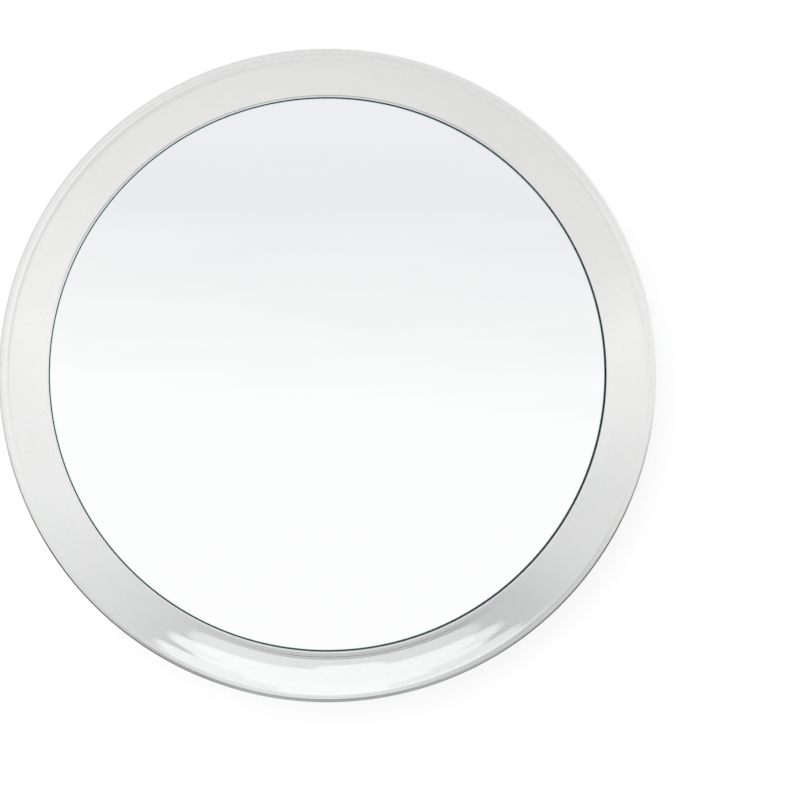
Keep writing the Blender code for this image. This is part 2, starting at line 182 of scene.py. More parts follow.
SPIGOT_OUTER = SKIRT_INNER - CLEARANCE
SPIGOT_INNER = SPIGOT_OUTER - SHELL_WALL
SCREW_HEAD_BACK = FLOOR_BACK + SCREW_SINK
SCREW_HEAD_FRONT = SCREW_HEAD_BACK + SCREW_HEAD_HEIGHT
TAPE_FRONT_DROP = GLASS_THICKNESS + FILM_THICKNESS + 2 * CLEARANCE
SEAT_DROP = TAPE_FRONT_DROP + TAPE_THICKNESS + CLEARANCE

# How finely the visible meshes are cut, and the angle from which an edge is shaded sharp.
RING_STEPS = 288
CUP_STEPS = 128
SMALL_STEPS = 48
SHANK_STEPS = 40
ARC_STEPS = 24
BOWL_STEPS = 24
FILLET_STEPS = 5
SHARP_ANGLE = math.radians(32.0)

# Counted from 0: the bare edge among the bezel's materials, the bevel and the paint among the glass's.
BEZEL_EDGE = 1
GLASS_BEVEL = 1
GLASS_PAINT = 2

# The least outward tilt of the faces on the lip's bevel that show the acrylic's bare edge.
EDGE_TILT = math.sin(math.radians(30.0))

# Painted shade: dark lines painted round the glass where the pocket's shaded wall shows through the clear
# acrylic. For each, how far it lies outside the pocket, its half width, and in degrees round the axis its
# middle and how far from there it ends and it is full.
PAINTED_SHADE_LINES = [
    (1.12 * MM, 0.13 * MM, -81.0, 32.0, 14.0),
    (1.6 * MM, 0.13 * MM, -81.0, 32.0, 14.0),
    (0.41 * MM, 0.2 * MM, 107.0, 62.0, 43.0),
]
# The colour of the painted shade lines.
PAINTED_SHADE_COLOUR = (0.36, 0.37, 0.37)

# The part of a pattern's range over which a material's colour changes.
GRAIN_START = 0.3
GRAIN_END = 0.7

# Repeats to the metre and depth of the grain and the cells that a surface's bump shows.
SHELL_GRAIN_SCALE = 2600.0
SHELL_GRAIN_DEPTH = 0.05 * MM
FOAM_CELL_SCALE = 2200.0
FOAM_CELL_DEPTH = 0.1 * MM

# The refractive index of the acrylic's clear skin and of the vinyl.
PLASTIC_IOR = 1.5

# Where the photograph shows the lip's circle, in its 800 by 800 pixels, and the camera that shows it there.
IMAGE_SIDE_PX = 800
LIP_CENTRE_PX = (328.7, 380.1)
LIP_RADIUS_PX = 329.3
CAMERA_LENS = 135.0
CAMERA_SENSOR = 36.0
CAMERA_ELEVATION = math.radians(6.0)
CAMERA_AZIMUTH = math.radians(-0.4)

# The key light, a soft square, and the world's even light, brighter and slightly cooler from above.
KEY_AZIMUTH = math.radians(-10.0)
KEY_ELEVATION = math.radians(14.0)
KEY_DISTANCE = 2.0
KEY_SIDE = 0.5
KEY_POWER = 10.0
WORLD_LEVEL = 0.88
WORLD_RISE = (0.27, 0.3, 0.33)
WHITE = (1.0, 1.0, 1.0)

# The stage, whose planes are made with a unit side and then scaled.
UNIT_SIDE = 1.0
STAGE_SIDE = 3.0
STAGE_COVER = 0.3
STAGE_COLOUR = (0.97, 0.97, 0.97)
WALL_GAP = 0.2 * MM
FLOOR_DROP = 0.45

# What the glossy pieces reflect, by direction. Reach is the angle in degrees from straight ahead and down
# by CAMERA_ELEVATION, about what a face parallel to the wall shows the camera. Roll is the angle in degrees
# round the mirror's axis, where 0 is to the right and 90 is up. A zone's two numbers are the reach at which
# none of it shows and the reach at which all of it shows. Its levels or colours are by roll.
HALF_TURN = 180.0
FULL_TURN = 360.0
REFLECTED_SCALE = 1.25
MIRROR_ZONE = (14.5, 11.0)
LIP_ZONE = (30.0, 24.0)
SIDE_ZONE = (98.0, 103.0)
BACK_ZONE = (116.0, 124.0)
LIP_REFLECTIONS = [
    (-180.0, 0.95), (-150.0, 0.87), (-140.0, 0.72), (-130.0, 0.52), (-120.0, 0.36), (-110.0, 0.52),
    (-100.0, 0.68), (-90.0, 0.68), (-80.0, 0.54), (-70.0, 0.16), (-60.0, 0.0), (-45.0, 0.2),
    (-30.0, 0.67), (-15.0, 0.72), (0.0, 0.8), (30.0, 0.6), (60.0, 0.47), (90.0, 0.49), (120.0, 0.56),
    (150.0, 0.75), (180.0, 0.95),
]
RING_REFLECTIONS = [
    (-180.0, 0.85), (-165.0, 0.99), (-150.0, 0.77), (-135.0, 0.75), (-120.0, 0.73), (-105.0, 0.77),
    (-90.0, 0.80), (-75.0, 0.84), (-60.0, 0.88), (-45.0, 0.91), (-30.0, 1.01), (-15.0, 1.09),
    (0.0, 0.96), (15.0, 0.89), (30.0, 0.68), (45.0, 0.45), (60.0, 0.18), (90.0, 0.03), (120.0, 0.04),
    (135.0, 0.15), (150.0, 0.48), (165.0, 0.60), (180.0, 0.85),
]
SIDE_REFLECTIONS = [
    (-180.0, 1.0), (-150.0, 0.95), (-140.0, 0.88), (-130.0, 0.74), (-120.0, 0.5), (-110.0, 0.4),
    (-100.0, (0.45, 0.48, 0.50)), (-90.0, (0.38, 0.41, 0.43)), (-80.0, (0.39, 0.42, 0.44)),
    (-70.0, (0.46, 0.48, 0.5)), (-55.0, 0.58), (-40.0, 0.68), (-30.0, 0.86), (-15.0, 0.96), (0.0, 1.03),
    (30.0, 0.91), (60.0, 0.89), (90.0, 0.87), (120.0, 0.95), (150.0, 0.98), (180.0, 1.0),
]
BACK_REFLECTIONS = [
    (-180.0, 0.8), (-165.0, 0.72), (-150.0, 0.3), (-140.0, 0.0), (-125.0, 0.05), (-112.0, 0.2),
    (-104.0, (0.40, 0.43, 0.45)), (-90.0, (0.36, 0.39, 0.41)), (-76.0, (0.38, 0.40, 0.42)),
    (-68.0, 0.25), (-58.0, 0.05), (-35.0, 0.04), (-25.0, 0.4), (-12.0, 0.95), (0.0, 1.03),
    (90.0, 0.85), (180.0, 0.8),
]

# The ring's levels rise with each degree of reach past its middle.
RING_MIDDLE = 60.0
RING_RISE = 0.002

# The mirror shows these colours from low, at 0, to high, at 1, in bands that are slanted and uneven.
MIRROR_REFLECTIONS = [
    (0.0, (0.70, 0.72, 0.75)),
    (0.16, (0.86, 0.87, 0.905)),
    (0.24, (0.83, 0.84, 0.855)),
    (0.315, (0.905, 0.915, 0.92)),
    (0.39, (0.985, 0.99, 0.988)),
    (0.6, (0.99, 0.995, 0.99)),
    (1.0, (0.99, 0.995, 0.99)),
]
MIRROR_HALF_SPAN = 0.4
MIRROR_SLANT = 0.08
STREAK_SCALE = (6.0, 6.0, 55.0)
STREAK_DETAIL = 3.0
STREAK_DEPTH = 0.05
NOISE_MIDDLE = 0.5

# Soft lamps overhead, there only in what the lower bezel reflects: roll, reach, half of each one's span
# of roll and of reach, its level, and the fall of the level with each degree of roll. A lamp's spread at
# a place is the sum of the fourth powers of the place's shares of the half spans. LAMP_EDGE holds the
# spread at which a lamp ends and the spread at which it is full.
LAMPS = [
    (90.8, 52.0, 34.2, 9.9, 0.60, 0.004),
    (91.0, 66.7, 37.2, 8.6, 0.93, 0.0035),
    (91.0, 62.7, 32.6, 6.9, 1.11, 0.003),
    (92.0, 68.8, 27.0, 9.0, 1.11, 0.003),
    (92.0, 74.5, 32.0, 3.8, 1.11, 0.003),
    (91.0, 79.5, 20.5, 4.9, 1.16, 0.003),
    (90.5, 88.0, 11.5, 9.0, 1.2, 0.0),
    (94.0, 55.4, 8.0, 5.0, 1.08, 0.0),
    (92.0, 85.0, 39.7, 8.5, 0.9, 0.005),
    (115.0, 92.6, 28.0, 3.3, 1.08, 0.005),
]
LAMP_EDGE = (1.25, 0.75)
LAMP_TINT = (0.96, 1.0, 0.995)


# Outlines and places.
def glass_height(radius):
    """Height off the wall of the glass's front, at a radius from the axis."""
    flat = math.sqrt(GLASS_CURVE_RADIUS ** 2 - radius ** 2)
    return GLASS_FRONT + GLASS_CURVE_RADIUS - flat


def seat_height(radius):
    """Height off the wall of the front of the bezel's seat, which follows the glass."""
    return glass_height(radius) - SEAT_DROP


def arc(centre, radius, start, end, steps):
    points = []
    for step in range(steps + 1):
        angle = start + (end - start) * step / steps
        x = centre[0] + radius * math.cos(angle)
        y = centre[1] + radius * math.sin(angle)
        points.append((x, y))
    return points


def circle(radius, steps):
    """A closed arc, without the last point, which would repeat the first."""
    return arc((0.0, 0.0), radius, 0.0, math.tau, steps)[:-1]


def rounded(points, closed=True):
    """An outline with a curve on each corner that carries a third value, the curve's reach."""
    outline = []
    count = len(points)
    for index, point in enumerate(points):
        reach = point[2] if len(point) > 2 else 0.0
        here = Vector(point[:2])
        ends = not closed and index in (0, count - 1)
        if reach == 0.0 or ends:
            outline.append(tuple(here))
            continue
        before = Vector(points[index - 1][:2])
        after = Vector(points[(index + 1) % count][:2])
        reach = min(reach, (before - here).length / 2, (after - here).length / 2)
        start = here + (before - here).normalized() * reach
        end = here + (after - here).normalized() * reach
        for step in range(FILLET_STEPS + 1):
            share = step / FILLET_STEPS
            blend = start.lerp(here, share).lerp(here.lerp(end, share), share)
            outline.append(tuple(blend))
    return outline


def bowl_points(outer, drop):
    """The glass's curve from the axis to a radius, lowered by a drop."""
    points = []
    for step in range(BOWL_STEPS + 1):
        radius = outer * step / BOWL_STEPS
        points.append((radius, glass_height(radius) - drop))
    return points


def screw_places():
    turns = [math.tau * index / SCREW_COUNT for index in range(SCREW_COUNT)]
    return [(BOSS_CIRCLE * math.cos(turn), BOSS_CIRCLE * math.sin(turn)) for turn in turns]


def cup_place(angle):
    turn = math.radians(angle)
    return (CUP_CIRCLE * math.cos(turn), CUP_CIRCLE * math.sin(turn))


def direction(azimuth, elevation):
    """The way from the mirror to an azimuth and elevation, where straight ahead is 0 for both."""
    level = math.cos(elevation)
    return Vector((math.sin(azimuth) * level, -math.cos(azimuth) * level, math.sin(elevation)))


# Meshes.
def smooth(mesh):
    """Smooth shading, with the sharp edges kept."""
    mesh.shade_smooth()
    mesh.set_sharp_from_angle(angle=SHARP_ANGLE)


def mesh_object(name, shape):
    """A new object from a bmesh, with its doubles welded and its faces pointing out."""
    bmesh.ops.remove_doubles(shape, verts=shape.verts, dist=WELD)
    bmesh.ops.recalc_face_normals(shape, faces=shape.faces)
    mesh = bpy.data.meshes.new(name)
    shape.to_mesh(mesh)
    shape.free()
    smooth(mesh)
    made = bpy.data.objects.new(name, mesh)
    bpy.context.scene.collection.objects.link(made)
    return made


def turned(name, profile, steps, closed=True):
    """A profile turned round the axis. An open profile starts and ends on the axis."""
    shape = bmesh.new()
    rings = []
    for step in range(steps):
        angle = math.tau * step / steps
        across = math.cos(angle)
        up = math.sin(angle)
        rings.append([shape.verts.new((r * across, -h, r * up)) for r, h in profile])
    last = len(profile) if closed else len(profile) - 1
    for step in range(steps):
        here = rings[step]
        there = rings[(step + 1) % steps]
        for index in range(last):
            after = (index + 1) % len(profile)
            shape.faces.new((here[index], here[after], there[after], there[index]))
    return mesh_object(name, shape)


def prism(name, outline, low, high, centre=(0.0, 0.0)):
    """A flat outline in x and z, given thickness between two heights off the wall."""
    shape = bmesh.new()
    corners = [shape.verts.new((centre[0] + x, -low, centre[1] + z)) for x, z in outline]
    face = shape.faces.new(corners)
    lifted = bmesh.ops.extrude_face_region(shape, geom=[face])
    moved = [item for item in lifted["geom"] if isinstance(item, bmesh.types.BMVert)]
    bmesh.ops.translate(shape, verts=moved, vec=(0, low - high, 0))
    return mesh_object(name, shape)


def join(name, objects):
    """One object that holds the meshes of several."""
    shape = bmesh.new()
    for piece in objects:
        shape.from_mesh(piece.data)
        bpy.data.objects.remove(piece)
    return mesh_object(name, shape)


def rods(name, radius, low, high):
    """A rod at the place of each screw, between two heights off the wall."""
    outline = circle(radius, SMALL_STEPS)
    return join(name, [prism(name, outline, low, high, place) for place in screw_places()])


def combine(target, tool, operation):
    """Joins a tool to a piece or cuts it out, and removes the tool."""
    modifier = target.modifiers.new("combine", "BOOLEAN")
    modifier.operation = operation
    modifier.object = tool
    modifier.solver = "EXACT"
    graph = bpy.context.evaluated_depsgraph_get()
    mesh = bpy.data.meshes.new_from_object(target.evaluated_get(graph))
    target.modifiers.clear()
    target.data = mesh
    smooth(mesh)
    bpy.data.objects.remove(tool)


def settle(piece, materials, body, cad_node):
    """Finishes a piece: its materials, its body and the node that it stands for."""
    piece.data.materials.clear()
    for material in materials:
        piece.data.materials.append(material)
    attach(piece, body)
    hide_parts(cad_node)


# Nodes.
def node(tree, kind, **values):
    made = tree.nodes.new(kind)
    for key, value in values.items():
        setattr(made, key, value)
    return made


def maths(tree, operation, *values):
    """A math node over sockets and plain numbers."""
    made = node(tree, "ShaderNodeMath", operation=operation)
    for slot, value in zip(made.inputs, values):
        if isinstance(value, (int, float)):
            slot.default_value = value
        else:
            tree.links.new(value, slot)
    return made.outputs[0]


def share_between(tree, value, low, high, kind="SMOOTHSTEP"):
    """How far a value has come from one number to another, from 0 to 1."""
    made = node(tree, "ShaderNodeMapRange", interpolation_type=kind)
    made.inputs["From Min"].default_value = low
    made.inputs["From Max"].default_value = high
    tree.links.new(value, made.inputs["Value"])
    return made.outputs["Result"]


def colour_ramp(tree, value, stops):
    """A ramp over any number of (position, colour) stops."""
    ramp = node(tree, "ShaderNodeValToRGB")
    elements = ramp.color_ramp.elements
    for _ in stops[2:]:
        elements.new(1.0)
    for element, (position, colour) in zip(elements, stops):
        element.position = position
        element.color = (*colour, 1.0)
    tree.links.new(value, ramp.inputs["Fac"])
    return ramp.outputs["Color"]


def noise_of(tree, scale, detail):
    """A noise's value over the object's own coordinates, in repeats to the metre."""
    place = node(tree, "ShaderNodeTexCoord")
    noise = node(tree, "ShaderNodeTexNoise")
    noise.inputs["Scale"].default_value = scale
    noise.inputs["Detail"].default_value = detail
    tree.links.new(place.outputs["Object"], noise.inputs["Vector"])
    return noise.outputs["Fac"]


def grain_colour(tree, value, dark, light):
    return colour_ramp(tree, value, [(GRAIN_START, dark), (GRAIN_END, light)])


def mixed(tree, share, first, second):
    """Two shaders mixed by a share, a socket."""
    made = node(tree, "ShaderNodeMixShader")
    tree.links.new(share, made.inputs["Fac"])
    tree.links.new(first, made.inputs[1])
    tree.links.new(second, made.inputs[2])
    return made.outputs[0]


# Materials.
def new_material(name, colour, roughness, metallic=0.0):
    material = bpy.data.materials.new(name)
    material.use_nodes = True
    tree = material.node_tree
    shader = tree.nodes["Principled BSDF"]
    shader.inputs["Base Color"].default_value = (*colour, 1.0)
    shader.inputs["Roughness"].default_value = roughness
    shader.inputs["Metallic"].default_value = metallic
    return material, tree, shader


def vary_colour(tree, shader, dark, light, scale, detail):
    """Lets a surface's colour go between two others with a noise."""
    colour = grain_colour(tree, noise_of(tree, scale, detail), dark, light)
    tree.links.new(colour, shader.inputs["Base Color"])


def vary_roughness(tree, shader, low, high, scale, detail):
    """Lets a surface's roughness go between two others with a noise."""
    rough = node(tree, "ShaderNodeMapRange")
    rough.inputs["To Min"].default_value = low
    rough.inputs["To Max"].default_value = high
    tree.links.new(noise_of(tree, scale, detail), rough.inputs["Value"])
    tree.links.new(rough.outputs["Result"], shader.inputs["Roughness"])


def add_coat(shader, roughness):
    """A clear glossy skin over the surface."""
    shader.inputs["Coat Weight"].default_value = 1.0
    shader.inputs["Coat Roughness"].default_value = roughness
    shader.inputs["Coat IOR"].default_value = PLASTIC_IOR


def add_bump(tree, shader, value, strength, depth):
    bump = node(tree, "ShaderNodeBump")
    bump.inputs["Strength"].default_value = strength
    bump.inputs["Distance"].default_value = depth
    tree.links.new(value, bump.inputs["Height"])
    tree.links.new(bump.outputs["Normal"], shader.inputs["Normal"])


def painted_shade_lines(tree):
    """The strength of the painted shade lines round the glass, which is 0 elsewhere."""
    place = node(tree, "ShaderNodeTexCoord")
    split = node(tree, "ShaderNodeSeparateXYZ")
    tree.links.new(place.outputs["Object"], split.inputs[0])
    across, _, up = split.outputs
    square = maths(tree, "MULTIPLY_ADD", across, across, maths(tree, "MULTIPLY", up, up))
    radius = maths(tree, "SQRT", square)
    turn = maths(tree, "DEGREES", maths(tree, "ARCTAN2", up, across))
    strength = 0.0
    for distance, half_width, middle, end, full in PAINTED_SHADE_LINES:
        off_middle = maths(tree, "ABSOLUTE", maths(tree, "SUBTRACT", turn, middle))
        off_line = maths(tree, "ABSOLUTE", maths(tree, "SUBTRACT", radius, POCKET_RADIUS + distance))
        along = share_between(tree, off_middle, end, full)
        shade_line = maths(tree, "MULTIPLY", share_between(tree, off_line, half_width, 0.0), along)
        strength = maths(tree, "MAXIMUM", strength, shade_line)
    return strength


def acrylic_material():
    """Clear acrylic over a silver-grey coat with a fine flake in it, and painted shade lines round the
    glass.
    """
    material, tree, shader = new_material(
        "silver_acrylic", colour=(0.80, 0.81, 0.80), roughness=0.07, metallic=0.4)
    flake = noise_of(tree, scale=3200.0, detail=3.0)
    coat = grain_colour(tree, flake, dark=(0.780, 0.787, 0.775), light=(0.829, 0.835, 0.823))
    # Painted shade: the dark lines round the glass are mixed into the coat's colour.
    shade_lined = node(tree, "ShaderNodeMix", data_type="RGBA")
    tree.links.new(painted_shade_lines(tree), shade_lined.inputs["Factor"])
    tree.links.new(coat, shade_lined.inputs["A"])
    shade_lined.inputs["B"].default_value = (*PAINTED_SHADE_COLOUR, 1.0)
    tree.links.new(shade_lined.outputs["Result"], shader.inputs["Base Color"])
    add_coat(shader, roughness=0.02)
    return material


def acrylic_edge_material():
    """The bare edge of the same acrylic, which reflects more of its surroundings."""
    material, tree, shader = new_material(
        "acrylic_edge", colour=(0.78, 0.785, 0.775), roughness=0.1, metallic=0.88)
    vary_colour(
        tree, shader, dark=(0.7644, 0.7693, 0.7595), light=(0.7956, 0.8007, 0.7905),
        scale=700.0, detail=3.0)
    add_coat(shader, roughness=0.03)
    return material


def mirror_material():
    """Silvered glass."""
    return new_material("mirror_silver", colour=(0.985, 0.99, 0.988), roughness=0.0, metallic=1.0)[0]


def glass_bevel_material():
    """The ground bevel round the glass, which shows its blue-green colour."""
    return new_material("glass_edge_bevel", colour=(0.62, 0.84, 0.90), roughness=0.2, metallic=0.1)[0]


def edge_paint_material():
    """Black paint on the glass's edge and back."""
    material, tree, shader = new_material("edge_paint", colour=(0.012, 0.012, 0.013), roughness=0.5)
    vary_colour(
        tree, shader, dark=(0.008, 0.008, 0.009), light=(0.02, 0.02, 0.021),
        scale=1800.0, detail=2.0)
    return material


def shell_material():
    """Satin moulded plastic with the fine grain of an etched tool."""
    material, tree, shader = new_material("shell_grey", colour=(0.68, 0.69, 0.69), roughness=0.38)
    vary_colour(tree, shader, dark=(0.66, 0.67, 0.67), light=(0.70, 0.71, 0.71), scale=60.0, detail=3.0)
    grain = noise_of(tree, SHELL_GRAIN_SCALE, detail=2.0)
    add_bump(tree, shader, grain, strength=0.25, depth=SHELL_GRAIN_DEPTH)
    return material


def film_material():
    """Blue-grey plastic film."""
    material, tree, shader = new_material("film_grey", colour=(0.33, 0.35, 0.38), roughness=0.45)
    vary_colour(tree, shader, dark=(0.30, 0.32, 0.35), light=(0.37, 0.39, 0.42), scale=900.0, detail=4.0)
    return material


def foam_material(name, dark, light):
    """Foam with small cells that show in its colour and its bump."""
    material, tree, shader = new_material(name, colour=dark, roughness=0.95)
    place = node(tree, "ShaderNodeTexCoord")
    cells = node(tree, "ShaderNodeTexVoronoi")
    cells.inputs["Scale"].default_value = FOAM_CELL_SCALE
    tree.links.new(place.outputs["Object"], cells.inputs["Vector"])
    colour = grain_colour(tree, cells.outputs["Distance"], dark, light)
    tree.links.new(colour, shader.inputs["Base Color"])
    add_bump(tree, shader, cells.outputs["Distance"], strength=0.6, depth=FOAM_CELL_DEPTH)
    return material


def steel_material():
    """Plated steel with small changes in its gloss."""
    material, tree, shader = new_material(
        "screw_steel", colour=(0.62, 0.62, 0.63), roughness=0.28, metallic=1.0)
    vary_roughness(tree, shader, low=0.2, high=0.42, scale=1500.0, detail=3.0)
    return material


def vinyl_material():
    """Clear soft vinyl, faintly blue, with the haze that such cups have."""
    material, tree, shader = new_material("soft_clear_vinyl", colour=(0.86, 0.91, 0.93), roughness=0.12)
    vary_roughness(tree, shader, low=0.08, high=0.22, scale=300.0, detail=3.0)
    shader.inputs["Transmission Weight"].default_value = 0.75
    shader.inputs["IOR"].default_value = PLASTIC_IOR
    return material


# The bezel.
def cove_circle():
    """Centre and radius of the cove's arc, and its slope at the lip, from its two ends and first slope."""
    start = (POCKET_RADIUS + RIM_WIDTH, RIM_TOP)
    end = (OUTER_RADIUS - LIP_WIDTH, LIP_TOP - LIP_DROP)
    chord = math.dist(start, end)
    chord_slope = math.atan2(end[1] - start[1], end[0] - start[0])
    radius = chord / (2 * math.sin(chord_slope - COVE_START_SLOPE))
    centre_x = start[0] - radius * math.sin(COVE_START_SLOPE)
    centre_y = start[1] + radius * math.cos(COVE_START_SLOPE)
    return (centre_x, centre_y), radius, 2 * chord_slope - COVE_START_SLOPE


def cove_arcs():
    """The cove's front, from the rim to the lip, and its back, from the skirt to the pocket."""
    centre, radius, end_slope = cove_circle()
    down = -math.pi / 2
    front = arc(centre, radius, down + COVE_START_SLOPE, down + end_slope, ARC_STEPS)
    back_radius = radius + BEZEL_WALL
    back_start = down + math.asin((SKIRT_INNER - centre[0]) / back_radius)
    back_end = down + math.asin((POCKET_OUTER - centre[0]) / back_radius)
    back = arc(centre, back_radius, back_start, back_end, ARC_STEPS // 2)
    return front, back


def rim_points():
    """The chamfer and the narrow land that the bezel has next to the glass."""
    land_start = POCKET_RADIUS + RIM_CHAMFER_WIDTH
    land_end = land_start + RIM_LAND
    land_top = RIM_TOP - (POCKET_RADIUS + RIM_WIDTH - land_end) * math.tan(COVE_START_SLOPE)
    return [
        (POCKET_RADIUS, land_top - RIM_CHAMFER_HEIGHT, BEZEL_ROUND / 2),
        (land_start, land_top, BEZEL_ROUND / 4),
        (land_end, land_top, BEZEL_ROUND / 4),
    ]


def lip_points():
    """The lip's step, its narrow land and its bevel, which has two slopes."""
    land_end = OUTER_RADIUS - LIP_BEVEL_WIDTH
    land_low = LIP_TOP - LIP_LAND_FALL
    return [
        (OUTER_RADIUS - LIP_WIDTH + LIP_STEP_WIDTH, LIP_TOP, BEZEL_ROUND / 2),
        (land_end, land_low, BEZEL_ROUND / 4),
        (land_end + BEVEL_BREAK_WIDTH, land_low - BEVEL_BREAK_HEIGHT, BEZEL_ROUND / 2),
        (OUTER_RADIUS, LIP_TOP - LIP_BEVEL_HEIGHT, BEZEL_ROUND),
    ]


def bezel_profile():
    front, back = cove_arcs()
    seat_back = seat_height(SEAT_INNER) - SEAT_THICKNESS
    skirt = [(OUTER_RADIUS, SKIRT_BACK, BEZEL_ROUND), (SKIRT_INNER, SKIRT_BACK, BEZEL_ROUND)]
    seat = [
        (POCKET_OUTER, seat_back, BEZEL_ROUND),
        (SEAT_INNER, seat_back, BEZEL_ROUND),
        (SEAT_INNER, seat_height(SEAT_INNER), BEZEL_ROUND),
        (POCKET_RADIUS, seat_height(POCKET_RADIUS), BEZEL_ROUND),
    ]
    return rounded(rim_points() + front + lip_points() + skirt + back + seat)


def show_bare_edge(bezel):
    """Gives the outward faces of the lip's bevel the bare edge's material."""
    for face in bezel.data.polygons:
        radius = math.hypot(face.center.x, face.center.z)
        outward = (face.normal.x * face.center.x + face.normal.z * face.center.z) / radius
        if -face.center.y > LIP_TOP - LIP_BEVEL_HEIGHT and outward > EDGE_TILT:
            face.material_index = BEZEL_EDGE


def make_bezel():
    bezel = turned("bezel_ring", bezel_profile(), RING_STEPS)
    seat_back = seat_height(SEAT_INNER) - SEAT_THICKNESS
    boss_back = PILLAR_TOP + CLEARANCE
    bore_front = seat_height(BOSS_CIRCLE) - BOSS_SKIN
    combine(bezel, rods("bosses", BOSS_RADIUS, boss_back, seat_back + SEAT_THICKNESS / 2), "UNION")
    combine(bezel, rods("bores", BOSS_BORE_RADIUS, boss_back - OVERRUN, bore_front), "DIFFERENCE")
    materials = [acrylic_material(), acrylic_edge_material()]
    settle(bezel, materials, ROOT, "front_bezel")
    show_bare_edge(bezel)


# The glass and what lies behind it.
def paint_glass(glass):
    """Gives the glass's bevel its own material, and its edge and back the paint."""
    for face in glass.data.polygons:
        radius = math.hypot(face.center.x, face.center.z)
        if radius > GLASS_RADIUS - GLASS_CHAMFER / 4 or face.normal.y > 0.0:
            face.material_index = GLASS_PAINT
        elif radius > GLASS_RADIUS - GLASS_CHAMFER:
            face.material_index = GLASS_BEVEL


def make_glass():
    front = bowl_points(GLASS_RADIUS - GLASS_CHAMFER, 0.0)
    back = bowl_points(GLASS_RADIUS, GLASS_THICKNESS)
    corner = (GLASS_RADIUS, front[-1][1] - GLASS_CHAMFER)
    glass = turned("concave_glass", front + [corner] + back[::-1], RING_STEPS, closed=False)
    materials = [mirror_material(), glass_bevel_material(), edge_paint_material()]
    settle(glass, materials, ROOT, "mirror_glass")
    paint_glass(glass)
    glass.data.transform(Matrix.Translation((GLASS_SHIFT, 0.0, 0.0)))


def make_film():
    front_drop = GLASS_THICKNESS + CLEARANCE
    front = bowl_points(FILM_RADIUS, front_drop)
    back = bowl_points(FILM_RADIUS, front_drop + FILM_THICKNESS)
    film = turned("safety_film", front + back[::-1], RING_STEPS, closed=False)
    settle(film, [film_material()], ROOT, "backing_film")


def make_tape():
    inner = TAPE_RADIUS - TAPE_WIDTH
    front_inner = glass_height(inner) - TAPE_FRONT_DROP
    front_outer = glass_height(TAPE_RADIUS) - TAPE_FRONT_DROP
    points = [
        (inner + TAPE_BULGE, front_inner, TAPE_BULGE),
        (TAPE_RADIUS - TAPE_BULGE, front_outer, TAPE_BULGE),
        (TAPE_RADIUS, front_outer - TAPE_THICKNESS / 2, TAPE_BULGE),
        (TAPE_RADIUS - TAPE_BULGE, front_outer - TAPE_THICKNESS, TAPE_BULGE),
        (inner + TAPE_BULGE, front_inner - TAPE_THICKNESS, TAPE_BULGE),
        (inner, front_inner - TAPE_THICKNESS / 2, TAPE_BULGE),
    ]
    tape = turned("foam_tape_ring", rounded(points), RING_STEPS)
    foam = foam_material("foam_white", dark=(0.74, 0.74, 0.72), light=(0.86, 0.86, 0.84))
    settle(tape, [foam], ROOT, "glass_tape")


def make_pad():
    points = [
        (0.0, PAD_FRONT),
        (PAD_RADIUS - PAD_BULGE, PAD_FRONT, PAD_BULGE),
        (PAD_RADIUS, (PAD_BACK + PAD_FRONT) / 2, PAD_BULGE),
        (PAD_RADIUS - PAD_BULGE, PAD_BACK, PAD_BULGE),
        (0.0, PAD_BACK),
    ]
    pad = turned("foam_pad", rounded(points, closed=False), CUP_STEPS, closed=False)
    foam = foam_material("foam_grey", dark=(0.15, 0.15, 0.16), light=(0.24, 0.24, 0.25))
    settle(pad, [foam], ROOT, "centre_pad")


# The rear shell.
def shell_corner(radius_x, radius_y, height):
    """The quarter of an ellipse between the shell's side and its floor."""
    points = []
    for step in range(ARC_STEPS + 1):
        angle = math.pi / 2 * step / ARC_STEPS
        x = FLOOR_RADIUS + radius_x * math.cos(angle)
        points.append((x, height - radius_y * math.sin(angle)))
    return points


def shell_profile():
    band_back = SHOULDER_HEIGHT - SHELL_BAND_HEIGHT
    outside = shell_corner(SHELL_OUTER - FLOOR_RADIUS, band_back - FLOOR_BACK, band_back)
    inside = shell_corner(SPIGOT_INNER - FLOOR_RADIUS, band_back - FLOOR_FRONT, band_back)
    spigot = [
        (SPIGOT_INNER, SPIGOT_TOP, SHELL_ROUND),
        (SPIGOT_OUTER, SPIGOT_TOP, SHELL_ROUND),
        (SPIGOT_OUTER, SHOULDER_HEIGHT),
        (SHELL_OUTER, SHOULDER_HEIGHT, SHELL_ROUND),
    ]
    points = [(0.0, FLOOR_FRONT)] + inside[::-1] + spigot + outside + [(0.0, FLOOR_BACK)]
    return rounded(points, closed=False)


def keyhole_outline():
    """A slot that opens downwards into a round entry, with its top end at the origin."""
    slot = NECK_RADIUS + CLEARANCE
    entry = HEAD_RADIUS + KEYHOLE_ENTRY_GAP
    mouth = math.asin(slot / entry)
    top = arc((0.0, 0.0), slot, 0.0, math.pi, ARC_STEPS)
    start = math.pi / 2 + mouth
    end = math.tau + math.pi / 2 - mouth
    return top + arc((0.0, -KEYHOLE_TRAVEL), entry, start, end, 2 * ARC_STEPS)


